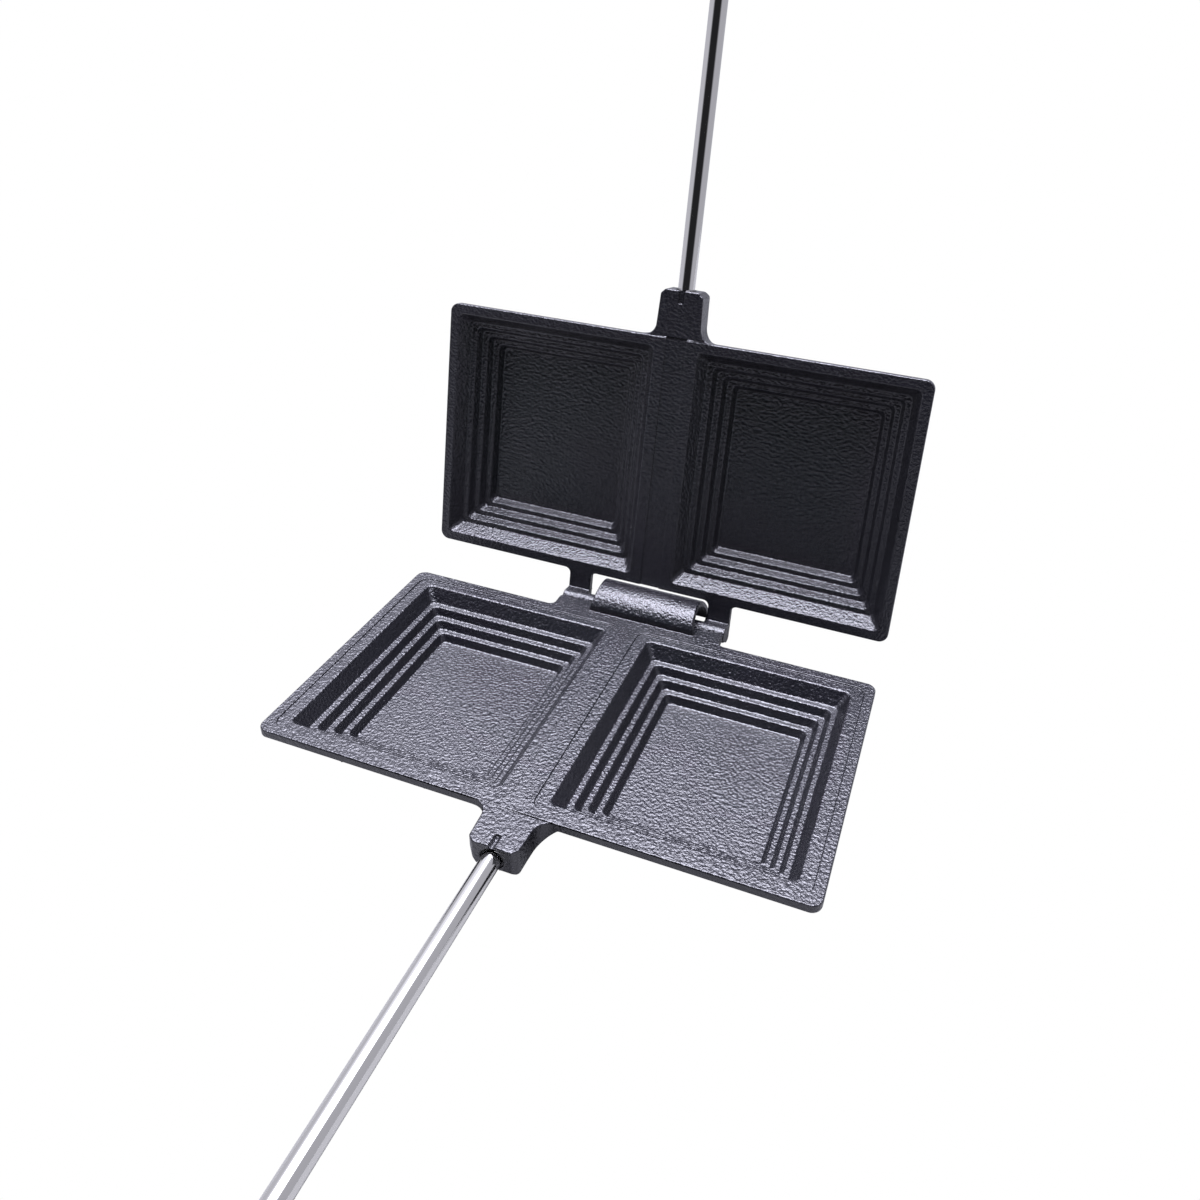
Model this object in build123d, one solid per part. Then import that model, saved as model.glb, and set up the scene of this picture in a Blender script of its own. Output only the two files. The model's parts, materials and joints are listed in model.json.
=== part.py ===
from build123d import *
import math
import os

os.makedirs("parts", exist_ok=True)

# Double pie iron: two cast-iron halves, each with two stepped pockets, hooked together at the back
# and carried on long steel rods with wooden grips. Millimetres. X runs across the two pockets, Y away
# from the grips towards the hinge, Z up. The origin is on the table, under the lower casting's centre.
# Each half is drawn with its parting face at Z 0 and its pockets sinking below it. The lower half is
# then raised to its height, and the upper half is turned over onto it and swung open.

# Plates of the castings.
PLATE_WIDTH = 240.0
PLATE_DEPTH = 127.0
PLATE_CORNER_RADIUS = 4.5
FLANGE_THICKNESS = 4.0

# Pockets: one deep sloped wall at the rim, then narrow ledges, each followed by a lower sloped wall.
RIM_WALL_DEPTH = 7.0
RIM_WALL_RUN = 4.2
STEP_WALL_DEPTH = 4.0
STEP_WALL_RUN = 1.75
LEDGE_WIDTH = 2.6
STEP_COUNT = 3
POCKET_CORNER_RADIUS = 2.5
POCKET_SPACING = 21.6
POCKET_FLOOR_THICKNESS = 3.6
PAN_WALL_GROWTH = 2.4

# Flat lands left between the pockets and the edges of the plates.
LOWER_SIDE_LAND = 10.2
LOWER_END_LAND = 9.0
UPPER_SIDE_LAND = 4.8
UPPER_END_LAND = 4.8
CENTRE_STRIP_WIDTH = 10.0
SEAL_RIM_WIDTH = 4.6
RECESS_DEPTH = 0.7

# Bosses that take the rods.
LOWER_BOSS_LENGTH = 18.0
UPPER_BOSS_LENGTH = 22.5
BOSS_ROOT_WIDTH = 22.6
BOSS_NOSE_WIDTH = 20.8
BOSS_HEIGHT = 13.0
BOSS_ROOT_FILLET = 6.0
BOSS_NOSE_CHAMFER = 2.2
BOSS_EDGE_CHAMFER = 1.4
BOSS_FACE_DROP = 0.4
BOSS_WEB_WIDTH = 37.0
BOSS_KEEL_LENGTH = 8.0
BOSS_KEEL_FADE = 12.0
NOSE_BEVEL_WIDTH = 5.0
NOSE_BEVEL_HEIGHT = 8.5
GROOVE_WIDTH = 2.4
GROOVE_LENGTH = 6.0

# Rods and their holes.
ROD_DIAMETER = 8.0
ROD_DROP = 7.2
ROD_FIT = 0.05
HOLE_BEHIND_EDGE = 6.0
HOLE_MOUTH_DIAMETER = 9.8
HOLE_MOUTH_DEPTH = 1.5
HANDLE_REACH = 557.0
ROD_END_CHAMFER = 0.6
STUD_DIAMETER = 6.0

# Hinge: a cast bar on the upper half hangs in an open hook on the lower half.
HINGE_SETBACK = 13.9
HINGE_DROP = 4.0
OPEN_ANGLE = 101.5
BAR_DIAMETER = 8.0
BAR_GAP = 0.5
ARM_SPREAD = 87.0
ARM_WIDTH = 11.7
ARM_TAIL = 6.0
ARM_FILLET = 3.0
ARM_TAIL_ROUND = 2.5
LAND_ROOT_FILLET = 3.0
LAND_CORNER_RADIUS = 2.0
HOOK_WIDTH = 55.0
HOOK_OFFSET = 2.7
HOOK_END_DRAFT = 1.9
HOOK_WALL = 2.9
HOOK_FRONT_SETBACK = 2.0
HOOK_PLATE_GAP = 0.2
ROOT_OVERLAP = 3.0
ROOT_MARGIN = 1.0

# Grips, ferrules and end fittings.
GRIP_LENGTH = 125.0
GRIP_RADIUS = 11.0
GRIP_NECK_TAPER = 20.0
GRIP_END_RADIUS = 8.4
GRIP_END_TAPER = 5.0
GRIP_BORE_FIT = 0.1
GRIP_FACE_GAP = 0.4
FERRULE_DIAMETER = 13.4
FERRULE_WALL = 0.6
FERRULE_LENGTH = 14.0
FERRULE_FIT = 0.05
WASHER_DIAMETER = 12.5
WASHER_THICKNESS = 1.6
NUT_WIDTH = 10.0
NUT_HEX_HEIGHT = 5.0
NUT_DOME_HEIGHT = 3.6
NUT_CROWN_RADIUS = 2.6
THREAD_FIT = 0.05
STUD_TIP_GAP = 1.0

# Points closer together than this count as one.
SAME_PLACE = 0.01

# Places worked out from the sizes above.
FRONT_EDGE = -PLATE_DEPTH / 2
REAR_EDGE = PLATE_DEPTH / 2
POCKET_DEPTH = RIM_WALL_DEPTH + STEP_COUNT * STEP_WALL_DEPTH
PARTING_HEIGHT = RECESS_DEPTH + POCKET_DEPTH + POCKET_FLOOR_THICKNESS
HINGE_Y = REAR_EDGE + HINGE_SETBACK
BAR_RADIUS = BAR_DIAMETER / 2
ROD_RADIUS = ROD_DIAMETER / 2
STUD_RADIUS = STUD_DIAMETER / 2
NUT_HEIGHT = NUT_HEX_HEIGHT + NUT_DOME_HEIGHT
GRIP_END = HANDLE_REACH - NUT_HEIGHT - WASHER_THICKNESS
GRIP_START = GRIP_END - GRIP_LENGTH


def along_y(radius, front, back, height):
    """Round bar along Y, centred on X 0."""
    middle = (front + back) / 2
    return Pos(0, middle, height) * Rot(X=90) * Cylinder(radius, back - front)


def block(left, right, front, back, bottom, top):
    """Plain block between six faces, used for cuts and for straight stretches."""
    centre = Pos((left + right) / 2, (front + back) / 2, (bottom + top) / 2)
    return centre * Box(right - left, back - front, top - bottom)


def both_sides(shape):
    """The shape and its mirror image on the other side of the centre line."""
    return shape + mirror(shape, about=Plane.YZ)


# ---- pockets and plate -----------------------------------------------------------------------------

def pocket_size(side_land, end_land):
    """Width and depth of a pocket's rim, from the lands that the plate keeps around it."""
    width = (PLATE_WIDTH - POCKET_SPACING) / 2 - side_land
    depth = PLATE_DEPTH - 2 * end_land
    return width, depth


def stepped_form(width, depth, growth, floor):
    """Stepped pocket shape with its rim at Z 0, larger by growth all round and deeper by floor."""
    walls = [(RIM_WALL_DEPTH + floor, RIM_WALL_RUN)]
    walls += [(STEP_WALL_DEPTH, STEP_WALL_RUN)] * STEP_COUNT
    radius = POCKET_CORNER_RADIUS + growth
    form = Part()
    inset = -growth
    level = 0.0
    for fall, run in walls:
        top = Pos(0, 0, level) * RectangleRounded(width - 2 * inset, depth - 2 * inset, radius)
        inset += run
        level -= fall
        foot = Pos(0, 0, level) * RectangleRounded(width - 2 * inset, depth - 2 * inset, radius)
        form += loft([top.face(), foot.face()], ruled=True)
        inset += LEDGE_WIDTH
    return form


def pocket_pair(side_land, end_land, rim_level, growth=0.0, floor=0.0):
    """Two stepped forms side by side, with their rims at rim_level."""
    width, depth = pocket_size(side_land, end_land)
    centre = (POCKET_SPACING + width) / 2
    return both_sides(Pos(centre, 0, rim_level) * stepped_form(width, depth, growth, floor))


def pan_pair(side_land, end_land, rim_level):
    """Outside of the two pans, a casting wall larger than the pockets."""
    return pocket_pair(side_land, end_land, rim_level, PAN_WALL_GROWTH, POCKET_FLOOR_THICKNESS)


def flange():
    """The flat plate that joins the two pans."""
    outline = RectangleRounded(PLATE_WIDTH, PLATE_DEPTH, PLATE_CORNER_RADIUS)
    return extrude(outline, -FLANGE_THICKNESS)


def seal_recess():
    """Shallow step inside the lower half's outer rim, on both sides of the centre strip."""
    width = PLATE_WIDTH / 2 - SEAL_RIM_WIDTH - CENTRE_STRIP_WIDTH / 2
    depth = PLATE_DEPTH - 2 * SEAL_RIM_WIDTH
    outline = RectangleRounded(width, depth, PLATE_CORNER_RADIUS)
    centre = (CENTRE_STRIP_WIDTH + width) / 2
    return both_sides(Pos(centre, 0, 0) * extrude(outline, -RECESS_DEPTH))


# ---- bosses for the rods ---------------------------------------------------------------------------

def boss_plan(length):
    """Boss seen from above: tapered towards its chamfered nose and flared into the plate's edge."""
    root = BOSS_ROOT_WIDTH / 2
    nose = BOSS_NOSE_WIDTH / 2
    tip = FRONT_EDGE - length
    back = FRONT_EDGE + BOSS_KEEL_LENGTH + BOSS_KEEL_FADE
    shoulder = root + BOSS_ROOT_FILLET + BOSS_NOSE_CHAMFER
    outline = Polyline(
        (nose - BOSS_NOSE_CHAMFER, tip),
        (nose, tip + BOSS_NOSE_CHAMFER),
        (root, FRONT_EDGE),
        (shoulder, FRONT_EDGE),
        (shoulder, back),
        (-shoulder, back),
        (-shoulder, FRONT_EDGE),
        (-root, FRONT_EDGE),
        (-nose, tip + BOSS_NOSE_CHAMFER),
        (BOSS_NOSE_CHAMFER - nose, tip),
        close=True,
    )
    plan = make_face(outline)
    roots = plan.vertices().filter_by(lambda v: abs(abs(v.X) - root) < SAME_PLACE)
    return fillet(roots, BOSS_ROOT_FILLET)


def boss_front(nose_bevel):
    """Boss seen from the grip end: square top, webs out to the flange, bevelled lower left edge."""
    web = BOSS_WEB_WIDTH / 2
    side = BOSS_ROOT_WIDTH / 2
    reach = side + BOSS_ROOT_FILLET + BOSS_NOSE_CHAMFER
    left = [(-side, -BOSS_HEIGHT + BOSS_EDGE_CHAMFER), (-side + BOSS_EDGE_CHAMFER, -BOSS_HEIGHT)]
    if nose_bevel:
        left = [(-side, NOSE_BEVEL_HEIGHT - BOSS_HEIGHT), (-side + NOSE_BEVEL_WIDTH, -BOSS_HEIGHT)]
    outline = Polyline(
        (-reach, 0),
        (-reach, -FLANGE_THICKNESS),
        (-web, -FLANGE_THICKNESS),
        *left,
        (side - BOSS_EDGE_CHAMFER, -BOSS_HEIGHT),
        (side, -BOSS_HEIGHT + BOSS_EDGE_CHAMFER),
        (web, -FLANGE_THICKNESS),
        (reach, -FLANGE_THICKNESS),
        (reach, 0),
        close=True,
    )
    return make_face(outline)


def boss_side(length):
    """Boss seen from the side: square nose, keel that fades up into the flange behind the edge."""
    tip = FRONT_EDGE - length
    keel = FRONT_EDGE + BOSS_KEEL_LENGTH
    outline = Polyline(
        (tip, 0),
        (tip, -BOSS_HEIGHT + BOSS_EDGE_CHAMFER),
        (tip + BOSS_EDGE_CHAMFER, -BOSS_HEIGHT),
        (keel, -BOSS_HEIGHT),
        (keel + BOSS_KEEL_FADE, -FLANGE_THICKNESS),
        (keel + BOSS_KEEL_FADE, 0),
        close=True,
    )
    return make_face(outline)


def boss(length, nose_bevel=False):
    """The common part of the boss's three outlines."""
    across = PLATE_WIDTH
    plan = extrude(boss_plan(length), -BOSS_HEIGHT)
    front = extrude(Plane.XZ * boss_front(nose_bevel), across, both=True)
    side = extrude(Plane.YZ * boss_side(length), across, both=True)
    return plan & front & side


def rod_hole(length, face_level=0.0):
    """Blind hole for the rod with its wider mouth, and the small half-round groove in the boss's face."""
    tip = FRONT_EDGE - length
    hole = along_y(ROD_RADIUS + ROD_FIT, tip, FRONT_EDGE + HOLE_BEHIND_EDGE, -ROD_DROP)
    mouth = along_y(HOLE_MOUTH_DIAMETER / 2, tip, tip + HOLE_MOUTH_DEPTH, -ROD_DROP)
    groove = along_y(GROOVE_WIDTH / 2, tip, tip + GROOVE_LENGTH, face_level)
    return hole + mouth + groove


# ---- hinge -----------------------------------------------------------------------------------------

def hinge_land():
    """Flat tongue behind the lower plate that carries the hook and backs the hinge bar."""
    back = HINGE_Y - BAR_RADIUS - BAR_GAP
    reach = ARM_SPREAD / 2
    flare = reach + LAND_ROOT_FILLET + ROOT_MARGIN
    outline = Polyline(
        (-flare, REAR_EDGE - ROOT_OVERLAP),
        (flare, REAR_EDGE - ROOT_OVERLAP),
        (flare, REAR_EDGE),
        (reach, REAR_EDGE),
        (reach, back),
        (-reach, back),
        (-reach, REAR_EDGE),
        (-flare, REAR_EDGE),
        close=True,
    )
    plan = make_face(outline)
    ends = plan.vertices().filter_by(lambda v: abs(abs(v.X) - reach) < SAME_PLACE)
    plan = fillet(ends.filter_by(lambda v: v.Y < back - SAME_PLACE), LAND_ROOT_FILLET)
    corners = plan.vertices().filter_by(lambda v: abs(v.Y - back) < SAME_PLACE)
    return extrude(fillet(corners, LAND_CORNER_RADIUS), -FLANGE_THICKNESS)


def hook_outline(inset):
    """Open outline of the hook, inset from its outer face: front wall, then an arch round the hinge axis
    as far as the level of the axis. Its two ends are given too."""
    axis = Vector(0, HINGE_Y, -HINGE_DROP)
    arch = HINGE_SETBACK - HOOK_PLATE_GAP - inset
    front = REAR_EDGE + HOOK_FRONT_SETBACK + inset
    foot = Vector(0, front, -FLANGE_THICKNESS / 2)
    spring = Vector(0, front, -HINGE_DROP + math.sqrt(arch**2 - (HINGE_Y - front) ** 2))
    crown = axis + Vector(0, 0, arch)
    tip = axis + Vector(0, arch, 0)
    edges = [Line(foot, spring), ThreePointArc(spring, crown, tip)]
    return edges, foot, tip


def hook():
    """Open hook on the land, arched over the hinge bar and open below and behind. Its ends lean in, so
    that the pattern draws out of the sand."""
    outer, outer_foot, outer_tip = hook_outline(0)
    inner, inner_foot, inner_tip = hook_outline(HOOK_WALL)
    middle = (outer_tip + inner_tip) / 2 - Vector(0, 0, HOOK_WALL / 2)
    nose = ThreePointArc(outer_tip, middle, inner_tip)
    section = make_face(outer + inner + [nose, Line(inner_foot, outer_foot)])
    bar = extrude(section, HOOK_WIDTH / 2, dir=(1, 0, 0), both=True)
    crown = HINGE_SETBACK - HOOK_PLATE_GAP - HINGE_DROP
    foot = HOOK_WIDTH / 2
    head = foot - HOOK_END_DRAFT
    ends = Polyline(
        (-foot, -BOSS_HEIGHT),
        (-foot, 0),
        (-head, crown),
        (-head, crown + HOOK_WALL),
        (head, crown + HOOK_WALL),
        (head, crown),
        (foot, 0),
        (foot, -BOSS_HEIGHT),
        close=True,
    )
    drafted = extrude(Plane.XZ * make_face(ends), PLATE_DEPTH, both=True)
    return Pos(HOOK_OFFSET, 0, 0) * (bar & drafted)


def hinge_arms():
    """Two cranked arms and the cast bar between them, drawn like the rest of a half: the bar lies above
    the parting face here and drops below it when the half is turned over."""
    tail = HINGE_Y + ARM_TAIL
    side = Polyline(
        (REAR_EDGE - ROOT_OVERLAP, 0),
        (HINGE_Y - BAR_RADIUS, 0),
        (HINGE_Y - BAR_RADIUS, HINGE_DROP),
        (HINGE_Y + BAR_RADIUS, HINGE_DROP),
        (tail, 0),
        (tail, -FLANGE_THICKNESS),
        (REAR_EDGE - ROOT_OVERLAP, -FLANGE_THICKNESS),
        close=True,
    )
    section = make_face(side)
    heel = section.vertices().sort_by(lambda v: v.X - v.Y)[-1]
    section = fillet(heel, ARM_TAIL_ROUND)
    inner = ARM_SPREAD / 2 - ARM_WIDTH
    arm = Pos(inner, 0, 0) * extrude(Plane.YZ * section, ARM_WIDTH)
    flare = ARM_FILLET + ROOT_MARGIN
    web = Polyline(
        (inner - flare, REAR_EDGE - ROOT_OVERLAP),
        (inner + ARM_WIDTH + flare, REAR_EDGE - ROOT_OVERLAP),
        (inner + ARM_WIDTH + flare, REAR_EDGE),
        (inner + ARM_WIDTH, REAR_EDGE),
        (inner + ARM_WIDTH, REAR_EDGE + flare),
        (inner, REAR_EDGE + flare),
        (inner, REAR_EDGE),
        (inner - flare, REAR_EDGE),
        close=True,
    )
    plan = make_face(web)
    roots = plan.vertices().filter_by(lambda v: abs(v.Y - REAR_EDGE) < SAME_PLACE)
    roots = roots.filter_by(lambda v: inner - SAME_PLACE < v.X < inner + ARM_WIDTH + SAME_PLACE)
    arm += extrude(fillet(roots, ARM_FILLET), -FLANGE_THICKNESS)
    bar = Pos(0, HINGE_Y, HINGE_DROP) * Rot(Y=90) * Cylinder(BAR_RADIUS, ARM_SPREAD)
    return both_sides(arm) + bar


# ---- castings --------------------------------------------------------------------------------------

def lower_casting():
    """Lower half: sealing rim, recessed lands, two pans, boss, and the hook on its land."""
    tip = FRONT_EDGE - LOWER_BOSS_LENGTH
    body = flange() + pan_pair(LOWER_SIDE_LAND, LOWER_END_LAND, -RECESS_DEPTH)
    body += boss(LOWER_BOSS_LENGTH, nose_bevel=True)
    body += hinge_land() + hook()
    body -= seal_recess()
    body -= pocket_pair(LOWER_SIDE_LAND, LOWER_END_LAND, -RECESS_DEPTH)
    body -= block(-BOSS_WEB_WIDTH, BOSS_WEB_WIDTH, tip, FRONT_EDGE, -BOSS_FACE_DROP, BOSS_FACE_DROP)
    return body - rod_hole(LOWER_BOSS_LENGTH, -BOSS_FACE_DROP)


def upper_casting():
    """Upper half: wider pockets, a sunk centre strip and boss face, boss, and the hinge arms."""
    tip = FRONT_EDGE - UPPER_BOSS_LENGTH
    strip = CENTRE_STRIP_WIDTH / 2
    body = flange() + pan_pair(UPPER_SIDE_LAND, UPPER_END_LAND, 0)
    body += boss(UPPER_BOSS_LENGTH)
    body += hinge_arms()
    body -= pocket_pair(UPPER_SIDE_LAND, UPPER_END_LAND, 0)
    body -= block(-strip, strip, FRONT_EDGE, REAR_EDGE, -RECESS_DEPTH, RECESS_DEPTH)
    body -= block(-BOSS_WEB_WIDTH, BOSS_WEB_WIDTH, tip, FRONT_EDGE, -RECESS_DEPTH, RECESS_DEPTH)
    return body - rod_hole(UPPER_BOSS_LENGTH, -RECESS_DEPTH)


# ---- handles, drawn along -Y from the plate's front edge -------------------------------------------

def turned(profile_edges):
    """Piece turned about the rod axis from an outline of distance along the rod and radius."""
    section = make_face(profile_edges)
    piece = revolve(section, Axis.X)
    return Pos(0, FRONT_EDGE, -ROD_DROP) * Rot(Z=-90) * piece


def rod():
    """Steel rod, screwed into the boss, turned down to a stud behind the grip."""
    stud_end = HANDLE_REACH - NUT_DOME_HEIGHT - STUD_TIP_GAP
    outline = Polyline(
        (-HOLE_BEHIND_EDGE, 0),
        (-HOLE_BEHIND_EDGE, ROD_RADIUS - ROD_END_CHAMFER),
        (ROD_END_CHAMFER - HOLE_BEHIND_EDGE, ROD_RADIUS),
        (GRIP_END, ROD_RADIUS),
        (GRIP_END, STUD_RADIUS),
        (stud_end - ROD_END_CHAMFER, STUD_RADIUS),
        (stud_end, STUD_RADIUS - ROD_END_CHAMFER),
        (stud_end, 0),
        close=True,
    )
    return turned(outline)


def grip():
    """Turned wooden grip: neck inside the ferrule, tapers at both ends, and a flat where the pair meets."""
    neck = FERRULE_DIAMETER / 2 - FERRULE_WALL - FERRULE_FIT
    bore = ROD_RADIUS + GRIP_BORE_FIT
    shoulder = GRIP_START + FERRULE_LENGTH
    outline = Polyline(
        (shoulder, FERRULE_DIAMETER / 2),
        (shoulder + GRIP_NECK_TAPER, GRIP_RADIUS),
        (GRIP_END - GRIP_END_TAPER, GRIP_RADIUS),
        (GRIP_END, GRIP_END_RADIUS),
        (GRIP_END, bore),
        (GRIP_START, bore),
        (GRIP_START, neck),
        (shoulder, neck),
        close=True,
    )
    body = turned(outline)
    reach = GRIP_RADIUS * 2
    front = FRONT_EDGE - GRIP_END
    back = FRONT_EDGE - GRIP_START
    return body - block(-reach, reach, front, back, -GRIP_FACE_GAP, reach)


def ferrule():
    """Thin steel cap over the grip's neck."""
    outer = FERRULE_DIAMETER / 2
    inner = outer - FERRULE_WALL
    mouth = ROD_RADIUS + GRIP_BORE_FIT
    outline = Polyline(
        (GRIP_START - FERRULE_WALL, mouth),
        (GRIP_START - FERRULE_WALL, outer - FERRULE_WALL),
        (GRIP_START, outer),
        (GRIP_START + FERRULE_LENGTH, outer),
        (GRIP_START + FERRULE_LENGTH, inner),
        (GRIP_START, inner),
        (GRIP_START, mouth),
        close=True,
    )
    return turned(outline)


def washer():
    """Flat washer on the stud, against the grip's end."""
    outline = Polyline(
        (GRIP_END, STUD_RADIUS + THREAD_FIT),
        (GRIP_END, WASHER_DIAMETER / 2),
        (GRIP_END + WASHER_THICKNESS, WASHER_DIAMETER / 2),
        (GRIP_END + WASHER_THICKNESS, STUD_RADIUS + THREAD_FIT),
        close=True,
    )
    return turned(outline)


def end_nut():
    """Closed nut on the stud, with a flat facing the other half's nut."""
    start = FRONT_EDGE - GRIP_END - WASHER_THICKNESS
    hexagon = RegularPolygon(NUT_WIDTH / 2, 6, major_radius=False)
    section = Pos(0, start, -ROD_DROP) * Rot(X=90) * hexagon
    body = extrude(section, NUT_HEX_HEIGHT, dir=(0, -1, 0))
    cap_start = GRIP_END + WASHER_THICKNESS + NUT_HEX_HEIGHT
    cap = Polyline(
        (cap_start, 0),
        (cap_start, NUT_WIDTH / 2),
        (HANDLE_REACH, NUT_CROWN_RADIUS),
        (HANDLE_REACH, 0),
        close=True,
    )
    body += turned(cap)
    stud_end = FRONT_EDGE - HANDLE_REACH + NUT_DOME_HEIGHT + STUD_TIP_GAP
    return body - along_y(STUD_RADIUS + THREAD_FIT, stud_end - THREAD_FIT, start, -ROD_DROP)


# ---- the two halves in place -----------------------------------------------------------------------

def place_lower(shape):
    """Stand a piece of the lower half on the table."""
    return Pos(0, 0, PARTING_HEIGHT) * shape


def place_upper(shape):
    """Turn a piece of the upper half over onto the lower one and swing it open about the hinge."""
    closed = Pos(0, 0, PARTING_HEIGHT) * mirror(shape, about=Plane.XY)
    hinge = Axis((0, HINGE_Y, PARTING_HEIGHT - HINGE_DROP), (1, 0, 0))
    return closed.rotate(hinge, -OPEN_ANGLE)


handle_pieces = {
    "rod": rod(),
    "grip": grip(),
    "ferrule": ferrule(),
    "washer": washer(),
    "end_nut": end_nut(),
}

pieces = {"lower_casting": place_lower(lower_casting())}
pieces["upper_casting"] = place_upper(upper_casting())
for name, shape in handle_pieces.items():
    pieces[f"lower_{name}"] = place_lower(shape)
    pieces[f"upper_{name}"] = place_upper(shape)

for name, shape in pieces.items():
    export_step(shape, f"parts/{name}.step")
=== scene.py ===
import json
import math

import bmesh
import bpy
from mathutils import Matrix, Vector
from mathutils.bvhtree import BVHTree


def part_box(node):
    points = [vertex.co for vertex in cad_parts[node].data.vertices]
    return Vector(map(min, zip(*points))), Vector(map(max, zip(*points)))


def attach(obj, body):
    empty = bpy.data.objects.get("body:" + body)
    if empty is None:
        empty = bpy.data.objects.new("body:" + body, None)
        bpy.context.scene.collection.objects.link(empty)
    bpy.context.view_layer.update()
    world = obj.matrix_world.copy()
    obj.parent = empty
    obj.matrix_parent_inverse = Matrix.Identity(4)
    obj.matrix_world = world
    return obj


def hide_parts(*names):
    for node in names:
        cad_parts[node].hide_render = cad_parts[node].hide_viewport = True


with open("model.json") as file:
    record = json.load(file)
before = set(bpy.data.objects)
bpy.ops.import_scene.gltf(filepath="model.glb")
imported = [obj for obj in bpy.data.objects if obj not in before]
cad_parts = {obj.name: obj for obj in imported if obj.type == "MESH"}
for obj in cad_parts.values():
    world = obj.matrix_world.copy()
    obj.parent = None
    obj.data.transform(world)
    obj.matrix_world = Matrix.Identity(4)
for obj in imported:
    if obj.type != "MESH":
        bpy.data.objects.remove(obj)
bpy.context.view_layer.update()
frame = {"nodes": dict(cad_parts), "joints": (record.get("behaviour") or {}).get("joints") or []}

# ---- where each half lies ----
# The lower half lies flat. The upper one is drawn as its twin, turned over about the parting plane and
# swung open about the hinge bar, and this gives the move from the one to the other.
hinge = frame["joints"][0]
hinge_point = Vector(hinge["pos_m"])
open_angle = math.radians(max(hinge["range_deg"]))
swing_open = (
    Matrix.Translation(hinge_point)
    @ Matrix.Rotation(-open_angle, 4, "X")
    @ Matrix.Translation(-hinge_point)
)
rod_low, rod_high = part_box("lower_rod")
rod_axis = (rod_low + rod_high) / 2
upper_points = [swing_open.inverted() @ v.co for v in frame["nodes"]["upper_rod"].data.vertices]
upper_height = (min(p.z for p in upper_points) + max(p.z for p in upper_points)) / 2
parting_height = (rod_axis.z + upper_height) / 2
turn_over = (
    Matrix.Translation((0, 0, parting_height))
    @ Matrix.Rotation(math.pi, 4, "Y")
    @ Matrix.Translation((0, 0, -parting_height))
)
half_place = {"lower": Matrix.Identity(4), "upper": swing_open @ turn_over}

# ---- the two castings ----
# Both halves are poured in grey iron in green sand, so every face carries the print of the sand grains
# and every edge is slightly round. Baked-on oil turns the iron blue-black and gives it a soft sheen.
METRE_MM = 1000.0
# The grains of real moulding sand are 0.2 to 0.4 mm wide. Their print is drawn several times as coarse, so
# that it shows at all. The pits are half a millimetre wide, and the oil lies in patches 3 cm wide.
GRAIN_MM = 1.3
PIT_MM = 0.5
PATCH_MM = 28.0
GRAIN_DEPTH = 0.0005
PIT_DEPTH = 0.00008
SAME_POINT = 0.000002
SAME_PLANE = math.radians(0.3)
EDGE_ANGLE = math.radians(28)
CAST_EDGE = 0.0006
EDGE_STEPS = 3
OUTER_SHARE = 0.65
INNER_SHARE = 0.3
STRAY = 0.00045
FACE_NEAR = 0.00001
FACE_EASE = 0.00002


def paint(hex_colour):
    """Linear colour from an sRGB hex value."""
    shares = [int(hex_colour[i:i + 2], 16) / 255 for i in (1, 3, 5)]
    linear = [c / 12.92 if c <= 0.04045 else ((c + 0.055) / 1.055) ** 2.4 for c in shares]
    return (*linear, 1.0)


def add_node(tree, kind, settings=None, inputs=None):
    """New node with its settings, and its inputs either set or linked."""
    node = tree.nodes.new(kind)
    for name, value in (settings or {}).items():
        setattr(node, name, value)
    for name, value in (inputs or {}).items():
        if isinstance(value, bpy.types.NodeSocket):
            tree.links.new(value, node.inputs[name])
        else:
            node.inputs[name].default_value = value
    return node


def new_material(name):
    """Material with an empty node tree, and that tree."""
    material = bpy.data.materials.new(name)
    material.use_nodes = True
    material.node_tree.nodes.clear()
    return material, material.node_tree


def finish_material(tree, shader):
    """Connects a shader to the material's surface."""
    add_node(tree, "ShaderNodeOutputMaterial", inputs={"Surface": shader.outputs[0]})


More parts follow.
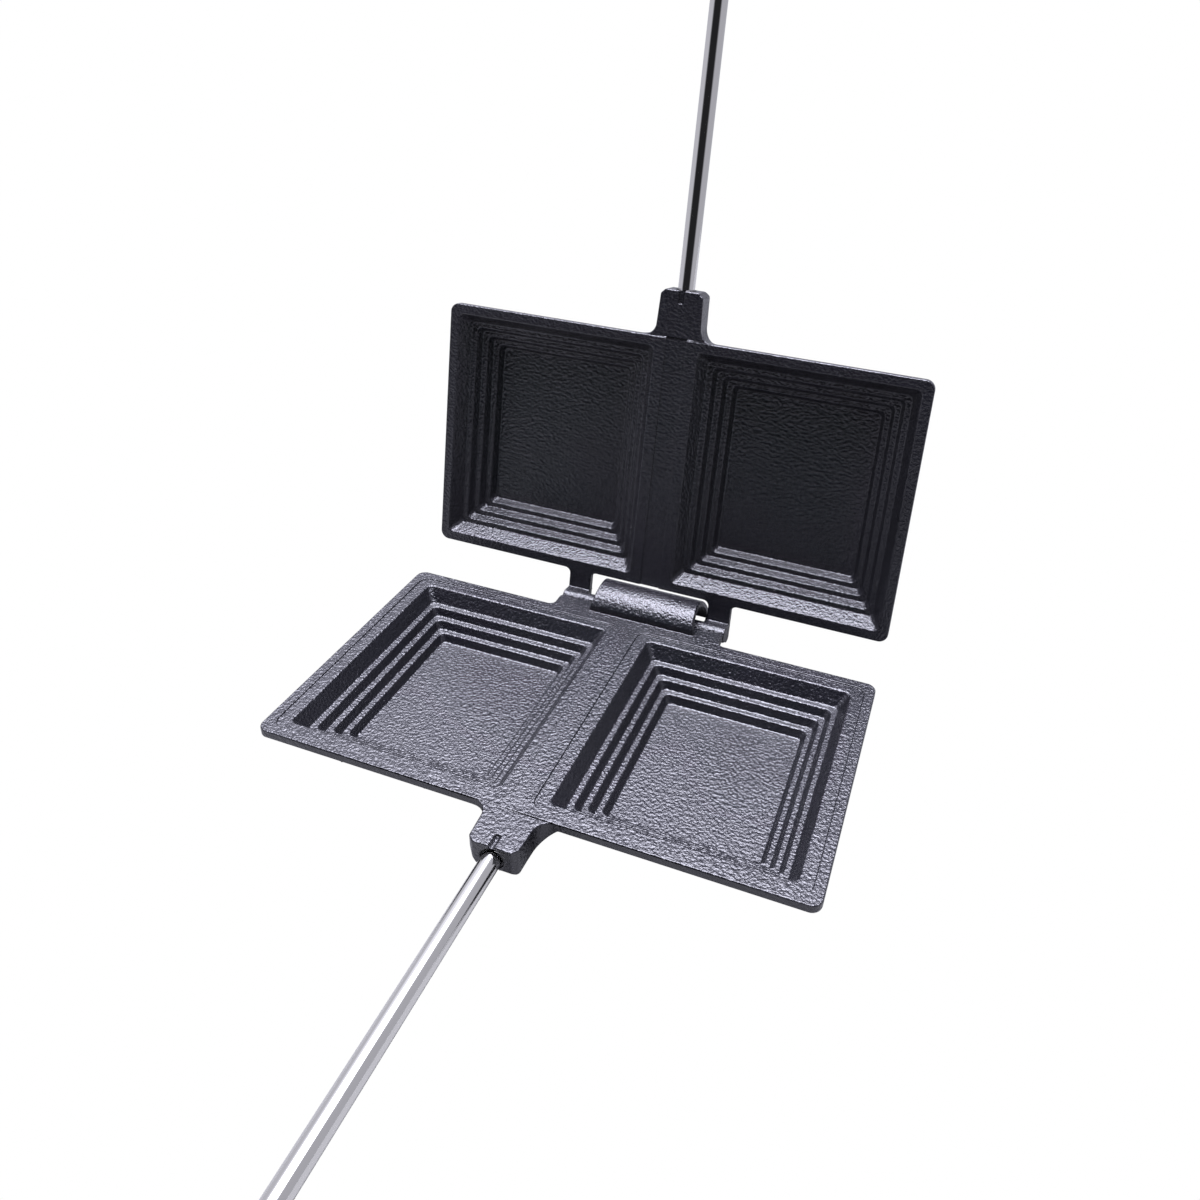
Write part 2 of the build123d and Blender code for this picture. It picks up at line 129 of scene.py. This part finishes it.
def seasoned_cast_iron():
    """Seasoned grey iron as cast: blue-black under a film of baked oil. The film gives broad soft
    highlights, and the print of the sand breaks them into fine specks of light."""
    material, tree = new_material("seasoned_cast_iron")
    place = add_node(tree, "ShaderNodeTexCoord").outputs["Object"]
    grain = add_node(tree, "ShaderNodeTexNoise", inputs={
        "Vector": place, "Scale": METRE_MM / GRAIN_MM, "Detail": 2.0, "Roughness": 0.5})
    pits = add_node(tree, "ShaderNodeTexNoise", inputs={
        "Vector": place, "Scale": METRE_MM / PIT_MM, "Detail": 2.0, "Roughness": 0.6})
    patches = add_node(tree, "ShaderNodeTexNoise", inputs={
        "Vector": place, "Scale": METRE_MM / PATCH_MM, "Detail": 3.0, "Roughness": 0.55})
    tone = add_node(tree, "ShaderNodeValToRGB", inputs={"Fac": patches.outputs["Fac"]})
    tone.color_ramp.elements[0].position = 0.3
    tone.color_ramp.elements[0].color = paint("#07070a")
    tone.color_ramp.elements[1].position = 0.7
    tone.color_ramp.elements[1].color = paint("#0e0e12")
    gloss = add_node(tree, "ShaderNodeMapRange", inputs={
        "Value": pits.outputs["Fac"], "From Min": 0.3, "From Max": 0.7, "To Min": 0.44, "To Max": 0.56})
    sand_print = add_node(tree, "ShaderNodeBump", inputs={
        "Height": grain.outputs["Fac"], "Strength": 1.0, "Distance": GRAIN_DEPTH})
    pitting = add_node(tree, "ShaderNodeBump", inputs={
        "Height": pits.outputs["Fac"], "Strength": 1.0, "Distance": PIT_DEPTH,
        "Normal": sand_print.outputs["Normal"]})
    surface = add_node(tree, "ShaderNodeBsdfPrincipled", inputs={
        "Base Color": tone.outputs["Color"], "Roughness": gloss.outputs["Result"],
        "IOR": 1.25, "Specular Tint": paint("#ccccfa"), "Normal": pitting.outputs["Normal"],
        "Coat Weight": 1.0, "Coat Roughness": 0.25, "Coat IOR": 1.66,
        "Coat Normal": pitting.outputs["Normal"]})
    finish_material(tree, surface)
    return material


def smooth_patches(shape):
    """Numbers each face by the smooth stretch of surface it belongs to, and gives each stretch's width."""
    patch_of = {}
    widths = []
    for seed in shape.faces:
        if seed in patch_of:
            continue
        area = border = 0.0
        waiting = [seed]
        patch_of[seed] = len(widths)
        while waiting:
            face = waiting.pop()
            area += face.calc_area()
            for edge in face.edges:
                if edge.calc_face_angle(0) > EDGE_ANGLE:
                    border += edge.calc_length()
                    continue
                for other in edge.link_faces:
                    if other not in patch_of:
                        patch_of[other] = len(widths)
                        waiting.append(other)
        widths.append(2 * area / border if border else 1.0)
    return patch_of, widths


def settle(piece):
    """Applies a piece's modifiers."""
    graph = bpy.context.evaluated_depsgraph_get()
    mesh = bpy.data.meshes.new_from_object(piece.evaluated_get(graph))
    piece.modifiers.clear()
    piece.data = mesh


def cast_copy(node, name, place):
    """Copy of a CAD casting with its loose triangles joined and its sharp edges rounded, less where the
    surface beside an edge is narrow. A corner that the rounding throws clear of the casting is drawn back.
    The parting face is lowered by a hair, because real halves touch at a few high spots only."""
    mesh = frame["nodes"][node].data.copy()
    shape = bmesh.new()
    shape.from_mesh(mesh)
    bmesh.ops.remove_doubles(shape, verts=shape.verts, dist=SAME_POINT)
    bmesh.ops.dissolve_limit(shape, angle_limit=SAME_PLANE, verts=shape.verts, edges=shape.edges)
    patch_of, widths = smooth_patches(shape)
    weight = shape.edges.layers.float.new("bevel_weight_edge")
    for edge in shape.edges:
        if edge.calc_face_angle(0) > EDGE_ANGLE:
            room = min(widths[patch_of[face]] for face in edge.link_faces)
            share = OUTER_SHARE if edge.is_convex else INNER_SHARE
            edge[weight] = min(1.0, room * share / CAST_EDGE)
    sharp_form = BVHTree.FromBMesh(shape)
    shape.to_mesh(mesh)
    shape.free()
    mesh.shade_smooth()
    piece = bpy.data.objects.new(name, mesh)
    bpy.context.collection.objects.link(piece)
    rounding = piece.modifiers.new("cast_edge", "BEVEL")
    rounding.width = CAST_EDGE
    rounding.segments = EDGE_STEPS
    rounding.limit_method = "WEIGHT"
    rounding.use_clamp_overlap = False
    rounding.miter_outer = "MITER_ARC"
    flats = piece.modifiers.new("flat_faces", "WEIGHTED_NORMAL")
    flats.mode = "FACE_AREA"
    flats.weight = 100
    settle(piece)
    for corner in piece.data.vertices:
        nearest, _, _, distance = sharp_form.find_nearest(corner.co)
        if distance > STRAY:
            corner.co = nearest
        laid = place.inverted() @ corner.co
        if abs(laid.z - parting_height) < FACE_NEAR:
            corner.co = place @ (laid - Vector((0, 0, FACE_EASE)))
    return piece


iron = seasoned_cast_iron()
for half, place in half_place.items():
    casting = cast_copy(f"{half}_casting", f"{half}_cast_half", place)
    casting.data.materials.clear()
    casting.data.materials.append(iron)
    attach(casting, f"{half}_half")
    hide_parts(f"{half}_casting")

# ---- handle pieces ----
# What every turned piece of a handle is made with: a mesh turned about the rod's axis on the lower half,
# and a copy of it on each half.
TURNING_STEPS = 96
SMOOTH_ANGLE = math.radians(30)


def turned_mesh(name, outline, within=None):
    """Turned mesh about the lower rod's axis, from points of place along Y and radius. An outline that
    keeps off the axis closes on itself round a bore. within caps the radius by the angle."""
    shape = bmesh.new()
    rings = []
    for along, radius in outline:
        ring = []
        for step in range(TURNING_STEPS if radius else 1):
            angle = 2 * math.pi * step / TURNING_STEPS
            reach = min(radius, within(angle)) if within else radius
            x = rod_axis.x + reach * math.cos(angle)
            z = rod_axis.z + reach * math.sin(angle)
            ring.append(shape.verts.new((x, along, z)))
        rings.append(ring)
    if outline[0][1] and outline[-1][1]:
        rings.append(rings[0])
    elif outline[0][1] or outline[-1][1]:
        open_ring = rings[0] if outline[0][1] else rings[-1]
        shape.faces.new(open_ring)
    for first, second in zip(rings, rings[1:]):
        for step in range(TURNING_STEPS):
            after = step + 1
            corners = [first[step % len(first)], first[after % len(first)],
                       second[after % len(second)], second[step % len(second)]]
            shape.faces.new(list(dict.fromkeys(corners)))
    bmesh.ops.recalc_face_normals(shape, faces=shape.faces)
    mesh = bpy.data.meshes.new(name)
    shape.to_mesh(mesh)
    shape.free()
    return mesh


def fit_to_halves(mesh, name, material, node, only=None):
    """Puts one copy of a handle piece on each half, or on one of them, in place of its CAD node."""
    mesh.shade_smooth()
    mesh.set_sharp_from_angle(angle=SMOOTH_ANGLE)
    for half, place in half_place.items():
        if only not in (None, half):
            continue
        piece = bpy.data.objects.new(f"{half}_{name}", mesh.copy())
        piece.data.transform(place)
        piece.data.materials.append(material)
        bpy.context.collection.objects.link(piece)
        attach(piece, f"{half}_half")
        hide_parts(f"{half}_{node}")


# ---- sand specks ----
# Grains of moulding sand that washed loose leave low pimples on the pockets and on the stepped backs. They
# are cast in one piece with each half, and stay clear of the parting faces, the feet and the hinge.
SPECK_RADIUS = 0.0005
SPECK_HEIGHT = 0.00016
SMALLEST_SPECK = 0.45
SPECKS_PER_SQUARE_METRE = 9000.0
SPECK_SEED = 11
SPECK_MARGIN = 0.0015
SPECK_REAR = 0.066


def sand_specks():
    """Node tree that strews low domes over the marked faces of a casting."""
    tree = bpy.data.node_groups.new("sand_specks", "GeometryNodeTree")
    for name, kind in (("Geometry", "Geometry"), ("Radius", "Float"), ("Height", "Float"),
                       ("Density", "Float"), ("Seed", "Int"), ("Material", "Material")):
        tree.interface.new_socket(name, in_out="INPUT", socket_type=f"NodeSocket{kind}")
    tree.interface.new_socket("Geometry", in_out="OUTPUT", socket_type="NodeSocketGeometry")
    given = add_node(tree, "NodeGroupInput").outputs
    marked = add_node(tree, "GeometryNodeInputNamedAttribute", {"data_type": "BOOLEAN"}, {
        "Name": "speckled"})
    points = add_node(tree, "GeometryNodeDistributePointsOnFaces", inputs={
        "Mesh": given["Geometry"], "Selection": marked.outputs["Attribute"],
        "Density": given["Density"], "Seed": given["Seed"]})
    spread = add_node(tree, "FunctionNodeRandomValue", {"data_type": "FLOAT"}, {
        "Min": SMALLEST_SPECK, "Max": 1.0, "Seed": given["Seed"]})
    size = add_node(tree, "ShaderNodeCombineXYZ", inputs={
        "X": given["Radius"], "Y": given["Radius"], "Z": given["Height"]})
    scale = add_node(tree, "ShaderNodeVectorMath", {"operation": "SCALE"}, {
        "Vector": size.outputs["Vector"], "Scale": spread.outputs[1]})
    ball = add_node(tree, "GeometryNodeMeshIcoSphere", inputs={"Radius": 1.0, "Subdivisions": 2})
    smooth = add_node(tree, "GeometryNodeSetShadeSmooth", inputs={"Geometry": ball.outputs["Mesh"]})
    strewn = add_node(tree, "GeometryNodeInstanceOnPoints", inputs={
        "Points": points.outputs["Points"], "Instance": smooth.outputs["Geometry"],
        "Rotation": points.outputs["Rotation"], "Scale": scale.outputs["Vector"]})
    real = add_node(tree, "GeometryNodeRealizeInstances", inputs={
        "Geometry": strewn.outputs["Instances"]})
    cast = add_node(tree, "GeometryNodeSetMaterial", inputs={
        "Geometry": real.outputs["Geometry"], "Material": given["Material"]})
    add_node(tree, "NodeGroupOutput", inputs={"Geometry": cast.outputs["Geometry"]})
    return tree


speck_tree = sand_specks()
speck_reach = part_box("lower_casting")[1].x - SPECK_MARGIN
speck_sockets = speck_tree.interface.items_tree
socket_of = {item.name: item.identifier for item in speck_sockets if item.in_out == "INPUT"}
for half, place in half_place.items():
    speck_ground = bpy.data.objects[f"{half}_cast_half"].data.copy()
    specks = bpy.data.objects.new(f"{half}_sand_specks", speck_ground)
    bpy.context.collection.objects.link(specks)
    marks = specks.data.attributes.new("speckled", "BOOLEAN", "FACE")
    lay = place.inverted()
    for face, mark in zip(specks.data.polygons, marks.data):
        laid = [lay @ specks.data.vertices[corner].co for corner in face.vertices]
        mark.value = (
            max(p.z for p in laid) < parting_height - SPECK_MARGIN
            and min(p.z for p in laid) < parting_height - 2 * SPECK_MARGIN
            and max(p.z for p in laid) > SPECK_MARGIN
            and max(abs(p.x) for p in laid) < speck_reach
            and max(p.y for p in laid) < SPECK_REAR
        )
    strewing = specks.modifiers.new("sand_specks", "NODES")
    strewing.node_group = speck_tree
    for name, value in (("Radius", SPECK_RADIUS), ("Height", SPECK_HEIGHT),
                        ("Density", SPECKS_PER_SQUARE_METRE), ("Seed", SPECK_SEED), ("Material", iron)):
        strewing[socket_of[name]] = value
    settle(specks)
    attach(specks, f"{half}_half")

# ---- rods ----
# Bright-drawn steel rods with nickel-chrome plating, screwed into the bosses and turned down to a thinner
# stud behind the grip.
ROD_RADIUS = (rod_high.x - rod_low.x) / 2
STUD_RADIUS = 0.003
ROD_CHAMFER = 0.0006
HAZE_MM = 9.0


def chrome_plate():
    """Chrome plating on drawn steel: almost a mirror, with a faint haze from handling in wide patches."""
    material, tree = new_material("chrome_plated_steel")
    place = add_node(tree, "ShaderNodeTexCoord").outputs["Object"]
    haze = add_node(tree, "ShaderNodeTexNoise", inputs={
        "Vector": place, "Scale": METRE_MM / HAZE_MM, "Detail": 3.0})
    gloss = add_node(tree, "ShaderNodeMapRange", inputs={
        "Value": haze.outputs["Fac"], "From Min": 0.35, "From Max": 0.65, "To Min": 0.05, "To Max": 0.1})
    surface = add_node(tree, "ShaderNodeBsdfPrincipled", inputs={
        "Base Color": paint("#ecebe6"), "Metallic": 1.0, "Roughness": gloss.outputs["Result"]})
    finish_material(tree, surface)
    return material


grip_low, grip_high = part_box("lower_grip")
rod_outline = [
    (rod_high.y, 0),
    (rod_high.y, ROD_RADIUS - ROD_CHAMFER),
    (rod_high.y - ROD_CHAMFER, ROD_RADIUS),
    (grip_low.y, ROD_RADIUS),
    (grip_low.y, STUD_RADIUS),
    (rod_low.y + ROD_CHAMFER, STUD_RADIUS),
    (rod_low.y, STUD_RADIUS - ROD_CHAMFER),
    (rod_low.y, 0),
]
fit_to_halves(turned_mesh("rod", rod_outline), "plated_rod", chrome_plate(), "rod")

# ---- ferrules ----
# Thin drawn-steel caps pressed over the necks of the grips, so that the wood doesn't split. The closed
# end fits round the rod, and the open edge is trimmed square.
FERRULE_WALL = 0.0006
FERRULE_LIP = 0.0009
LIP_ROUND = 0.3
BORE_FIT = 0.0001
BORE_RADIUS = ROD_RADIUS + BORE_FIT
CLOUD_MM = 4.0

ferrule_low, ferrule_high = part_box("lower_ferrule")
ferrule_radius = (ferrule_high.x - ferrule_low.x) / 2


def bright_steel():
    """Zinc-bright rolled steel: greyer and softer than chrome, with light and dark clouds in its gloss."""
    material, tree = new_material("bright_zinc_steel")
    place = add_node(tree, "ShaderNodeTexCoord").outputs["Object"]
    cloud = add_node(tree, "ShaderNodeTexNoise", inputs={
        "Vector": place, "Scale": METRE_MM / CLOUD_MM, "Detail": 4.0, "Roughness": 0.6})
    tone = add_node(tree, "ShaderNodeValToRGB", inputs={"Fac": cloud.outputs["Fac"]})
    tone.color_ramp.elements[0].position = 0.35
    tone.color_ramp.elements[0].color = paint("#b9bcc0")
    tone.color_ramp.elements[1].position = 0.65
    tone.color_ramp.elements[1].color = paint("#d3d5d8")
    gloss = add_node(tree, "ShaderNodeMapRange", inputs={
        "Value": cloud.outputs["Fac"], "From Min": 0.35, "From Max": 0.65, "To Min": 0.22, "To Max": 0.36})
    surface = add_node(tree, "ShaderNodeBsdfPrincipled", inputs={
        "Base Color": tone.outputs["Color"], "Metallic": 1.0, "Roughness": gloss.outputs["Result"]})
    finish_material(tree, surface)
    return material


steel = bright_steel()
ferrule_outline = [
    (ferrule_high.y, BORE_RADIUS),
    (ferrule_high.y, ferrule_radius - FERRULE_LIP),
    (ferrule_high.y - FERRULE_LIP * LIP_ROUND, ferrule_radius - FERRULE_LIP * LIP_ROUND),
    (ferrule_high.y - FERRULE_LIP, ferrule_radius),
    (ferrule_low.y, ferrule_radius),
    (ferrule_low.y, ferrule_radius - FERRULE_WALL),
    (ferrule_high.y - FERRULE_WALL, ferrule_radius - FERRULE_WALL),
    (ferrule_high.y - FERRULE_WALL, BORE_RADIUS),
]
ferrule_mesh = turned_mesh("ferrule", ferrule_outline)
fit_to_halves(ferrule_mesh, "pressed_ferrule", steel, "ferrule")

# ---- grips ----
# Grips turned from straight-grained beech, bored for the rod and lacquered. Each has a planed flat
# where it lies against the other grip when the iron is closed.
NECK_FIT = 0.00005
NECK_RADIUS = ferrule_radius - FERRULE_WALL - NECK_FIT
NECK_TAPER = 0.020
END_TAPER = 0.005
END_RADIUS = 0.0084
GRIP_FLAT_GAP = 0.0004
ARC_STEPS = 14
# The growth rings are those of a fast-grown tree, about a heart beside the grip. The flecks are the rays
# of the wood, half a millimetre wide and drawn out along the grain.
RING_MM = 3.851
WAVE_RATE = 20.0
HEART = (0.031, 0, 0.012)
RAY_MM = 0.5
RAY_DEPTH = 0.0001
GRAIN_STRETCH = 0.045


def tangent_arc(start, heading, end):
    """Points of the arc that leaves start along heading and reaches end, without start itself."""
    start, heading, end = Vector(start), Vector(heading).normalized(), Vector(end)
    side = Vector((-heading.y, heading.x))
    chord = end - start
    if side.dot(chord) < 0:
        side.negate()
    radius = chord.length_squared / (2 * side.dot(chord))
    centre = start + side * radius
    sweep = 2 * math.atan2(side.dot(chord), heading.dot(chord))
    points = []
    for step in range(1, ARC_STEPS + 1):
        angle = sweep * step / ARC_STEPS
        points.append(centre - side * radius * math.cos(angle) + heading * radius * math.sin(angle))
    return [tuple(point) for point in points]


def lacquered_beech(half, turn):
    """Lacquered beech, darkened by heat and smoke: warm brown with growth rings, short dark flecks along
    the grain and a satin gloss. turn is how far the half that carries it is swung open."""
    material, tree = new_material(f"lacquered_beech_{half}")
    place = add_node(tree, "ShaderNodeTexCoord").outputs["Object"]
    upright = add_node(tree, "ShaderNodeMapping", inputs={
        "Vector": place, "Rotation": (turn, 0, 0), "Location": HEART})
    stretched = add_node(tree, "ShaderNodeMapping", inputs={
        "Vector": upright.outputs["Vector"], "Scale": (1, GRAIN_STRETCH, 1)})
    rings = add_node(tree, "ShaderNodeTexWave", {
        "wave_type": "RINGS", "rings_direction": "Y", "wave_profile": "SAW"}, {
        "Vector": stretched.outputs["Vector"], "Scale": METRE_MM * math.tau / (WAVE_RATE * RING_MM),
        "Distortion": 2.2, "Detail": 2.0, "Detail Scale": 1.4})
    rays = add_node(tree, "ShaderNodeTexNoise", inputs={
        "Vector": stretched.outputs["Vector"], "Scale": METRE_MM / RAY_MM, "Detail": 2.0,
        "Roughness": 0.7})
    wood = add_node(tree, "ShaderNodeValToRGB", inputs={"Fac": rings.outputs["Fac"]})
    wood.color_ramp.elements[0].color = paint("#7f5735")
    wood.color_ramp.elements[1].color = paint("#986d46")
    fleck = add_node(tree, "ShaderNodeValToRGB", inputs={"Fac": rays.outputs["Fac"]})
    fleck.color_ramp.elements[0].position = 0.34
    fleck.color_ramp.elements[0].color = paint("#9b8a7c")
    fleck.color_ramp.elements[1].position = 0.46
    fleck.color_ramp.elements[1].color = paint("#ffffff")
    colour = add_node(tree, "ShaderNodeMix", {"data_type": "RGBA", "blend_type": "MULTIPLY"})
    colour.inputs["Factor"].default_value = 0.8
    tree.links.new(wood.outputs["Color"], colour.inputs[6])
    tree.links.new(fleck.outputs["Color"], colour.inputs[7])
    relief = add_node(tree, "ShaderNodeBump", inputs={
        "Height": rays.outputs["Fac"], "Strength": 0.35, "Distance": RAY_DEPTH})
    surface = add_node(tree, "ShaderNodeBsdfPrincipled", inputs={
        "Base Color": colour.outputs[2], "Roughness": 0.38, "Normal": relief.outputs["Normal"],
        "Coat Weight": 0.5, "Coat Roughness": 0.16})
    finish_material(tree, surface)
    return material


shoulder = ferrule_low.y
grip_radius = (grip_high.x - grip_low.x) / 2
middle = (shoulder - NECK_TAPER / 2, (ferrule_radius + grip_radius) / 2)
tail = (grip_low.y + END_TAPER, grip_radius)
grip_outline = [
    (grip_high.y, BORE_RADIUS),
    (grip_high.y, NECK_RADIUS),
    (shoulder, NECK_RADIUS),
    (shoulder, ferrule_radius),
    *tangent_arc((shoulder, ferrule_radius), (-1, 0), middle),
    *reversed(tangent_arc((shoulder - NECK_TAPER, grip_radius), (1, 0), middle)[:-1]),
    (shoulder - NECK_TAPER, grip_radius),
    tail,
    *tangent_arc(tail, (-1, 0), (grip_low.y, END_RADIUS)),
    (grip_low.y, BORE_RADIUS),
]
grip_mesh = turned_mesh("grip", grip_outline)
planed = bmesh.new()
planed.from_mesh(grip_mesh)
flat_height = parting_height - GRIP_FLAT_GAP
cut = bmesh.ops.bisect_plane(
    planed, geom=planed.verts[:] + planed.edges[:] + planed.faces[:],
    plane_co=(0, 0, flat_height), plane_no=(0, 0, 1), clear_outer=True)
rims = [part for part in cut["geom_cut"] if isinstance(part, bmesh.types.BMEdge)]
bmesh.ops.holes_fill(planed, edges=rims, sides=0)
planed.to_mesh(grip_mesh)
planed.free()
for half, turn in (("lower", 0), ("upper", open_angle)):
    wood = lacquered_beech(half, turn)
    fit_to_halves(grip_mesh, "turned_grip", wood, "grip", only=half)

# ---- washers and cap nuts ----
# Zinc-bright steel. The washer spreads the nut's pull over the end grain. The nut is a hexagon with its
# corners chamfered and a drawn dome that hides the end of the stud.
WASHER_EDGE = 0.0003
NUT_CHAMFER = 0.0005
NUT_DOME = 0.0036
DOME_CHAMFER = 0.0007
FACE_SHARE = 0.96
DOME_SHARE = 0.94
FOOT_SHARE = 0.98

washer_low, washer_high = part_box("lower_washer")
washer_radius = (washer_high.x - washer_low.x) / 2
nut_low, nut_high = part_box("lower_end_nut")
nut_apothem = (nut_high.z - nut_low.z) / 2
nut_corner = (nut_high.x - nut_low.x) / 2


def hexagon(angle):
    """Distance from the axis to a nut's flat side at an angle from one of its corners."""
    sixth = math.pi / 3
    return nut_apothem / math.cos(angle % sixth - sixth / 2)


washer_outline = [
    (washer_high.y, STUD_RADIUS),
    (washer_high.y, washer_radius - WASHER_EDGE),
    (washer_high.y - WASHER_EDGE, washer_radius),
    (washer_low.y + WASHER_EDGE, washer_radius),
    (washer_low.y, washer_radius - WASHER_EDGE),
    (washer_low.y, STUD_RADIUS),
]
fit_to_halves(turned_mesh("washer", washer_outline), "flat_washer", steel, "washer")
dome_foot = nut_low.y + NUT_DOME
dome = tangent_arc((nut_low.y, 0), (0, 1), (dome_foot, nut_apothem * DOME_SHARE))
nut_outline = [
    (nut_high.y, STUD_RADIUS),
    (nut_high.y, nut_apothem * FACE_SHARE),
    (nut_high.y - NUT_CHAMFER, nut_corner),
    (dome_foot + DOME_CHAMFER, nut_corner),
    (dome_foot, nut_apothem * FOOT_SHARE),
    *reversed(dome),
    (nut_low.y, 0),
]
cap_nut = turned_mesh("cap_nut", nut_outline, within=hexagon)
fit_to_halves(cap_nut, "cap_nut", steel, "end_nut")

# ---- table ----
# A plain white table top that carries the iron and isn't part of it. It shows plain white itself, but
# throws little light back up, so that the undersides stay dark.
TABLE_REACH = 0.85
TABLE_GLOW = 1.0

table_mesh = bpy.data.meshes.new("table")
table_corners = [(-TABLE_REACH, -TABLE_REACH, 0), (TABLE_REACH, -TABLE_REACH, 0),
                 (TABLE_REACH, TABLE_REACH, 0), (-TABLE_REACH, TABLE_REACH, 0)]
table_mesh.from_pydata(table_corners, [], [(0, 1, 2, 3)])
table = bpy.data.objects.new("table", table_mesh)
bpy.context.collection.objects.link(table)
table_white, tree = new_material("white_table")
in_view = add_node(tree, "ShaderNodeLightPath").outputs["Is Camera Ray"]
bounce = add_node(tree, "ShaderNodeBsdfDiffuse", inputs={"Color": paint("#747474")})
shown_white = add_node(tree, "ShaderNodeEmission", inputs={
    "Color": paint("#ffffff"), "Strength": TABLE_GLOW})
finish_material(tree, add_node(tree, "ShaderNodeMixShader", inputs={
    0: in_view, 1: bounce.outputs[0], 2: shown_white.outputs[0]}))
table_mesh.materials.append(table_white)

# ---- studio light ----
# A white tent: walls that are brighter on the left, a strong soft box overhead, a wide window high at the
# back, and a dark opening in front. Each of these fades in between the two cosines of its edge. The tent
# shows plain white itself.
LEFT_WALL_LIGHT = 0.62
RIGHT_WALL_LIGHT = 0.5
BOX_LIGHT = 18.0
BOX_WAY = (-0.1, 0.06, 0.99)
BOX_EDGE = (0.82, 0.97)
WINDOW_LIGHT = 0.5
WINDOW_WAY = (-0.3, 0.62, 0.73)
WINDOW_EDGE = (0.8, 0.95)
OPENING_LIGHT = 0.02
OPENING_WAY = (0.1, -1.0, 0.1)
OPENING_EDGE = (0.5, 0.8)


def facing(tree, way, towards, start, full):
    """Share from 0 to 1 of how far a direction points towards another, by the cosine between them."""
    aim = Vector(towards).normalized()
    along = add_node(tree, "ShaderNodeVectorMath", {"operation": "DOT_PRODUCT"}, {0: way, 1: tuple(aim)})
    share = add_node(tree, "ShaderNodeMapRange", {"interpolation_type": "SMOOTHSTEP"}, {
        "Value": along.outputs["Value"], "From Min": start, "From Max": full})
    return share.outputs["Result"]


world = bpy.data.worlds.new("light_tent")
bpy.context.scene.world = world
world.use_nodes = True
tent = world.node_tree
tent.nodes.clear()
way = add_node(tent, "ShaderNodeTexCoord").outputs["Generated"]
left = facing(tent, way, (-1, 0, 0), -1, 1)
opening = facing(tent, way, OPENING_WAY, *OPENING_EDGE)
window = facing(tent, way, WINDOW_WAY, *WINDOW_EDGE)
box = facing(tent, way, BOX_WAY, *BOX_EDGE)
sides = add_node(tent, "ShaderNodeMapRange", inputs={
    "Value": left, "To Min": RIGHT_WALL_LIGHT, "To Max": LEFT_WALL_LIGHT})
wall = add_node(tent, "ShaderNodeMapRange", inputs={
    "Value": opening, "To Min": sides.outputs["Result"], "To Max": OPENING_LIGHT})
with_window = add_node(tent, "ShaderNodeMath", {"operation": "MULTIPLY_ADD"}, {
    0: window, 1: WINDOW_LIGHT, 2: wall.outputs["Result"]})
with_box = add_node(tent, "ShaderNodeMath", {"operation": "MULTIPLY_ADD"}, {
    0: box, 1: BOX_LIGHT, 2: with_window.outputs["Value"]})
glow = add_node(tent, "ShaderNodeBackground", inputs={
    "Color": paint("#f0f0ff"), "Strength": with_box.outputs["Value"]})
seen = add_node(tent, "ShaderNodeBackground", inputs={"Color": paint("#ffffff"), "Strength": 1.0})
path = add_node(tent, "ShaderNodeLightPath")
shown = add_node(tent, "ShaderNodeMixShader", inputs={
    0: path.outputs["Is Camera Ray"], 1: glow.outputs[0], 2: seen.outputs[0]})
add_node(tent, "ShaderNodeOutputWorld", inputs={"Surface": shown.outputs[0]})
bpy.context.scene.view_settings.view_transform = "Standard"

# ---- camera ----
# It stands in front of the iron, to the right and above, and looks down at the open hinge, tilted a
# little. The shift puts its line of sight a little right of and above the middle of the frame.
SENSOR_WIDTH = 36.0
LENS = 29.25
SHIFT = (-0.0573, -0.1124)
FAR = 90
STAND = Vector((0.1339, -0.3016, 0.3174))
RIGHT = Vector((0.94219, 0.33236, 0.04269))
DOWN = Vector((0.19081, -0.42741, -0.88369))
AHEAD = Vector((-0.27546, 0.84075, -0.46612))

camera_data = bpy.data.cameras.new("camera")
camera_data.sensor_width = SENSOR_WIDTH
camera_data.lens = LENS
camera_data.shift_x, camera_data.shift_y = SHIFT
camera_data.clip_end = FAR
camera = bpy.data.objects.new("camera", camera_data)
camera.matrix_world = Matrix((
    (RIGHT.x, -DOWN.x, -AHEAD.x, STAND.x),
    (RIGHT.y, -DOWN.y, -AHEAD.y, STAND.y),
    (RIGHT.z, -DOWN.z, -AHEAD.z, STAND.z),
    (0, 0, 0, 1),
))
bpy.context.collection.objects.link(camera)
bpy.context.scene.camera = camera
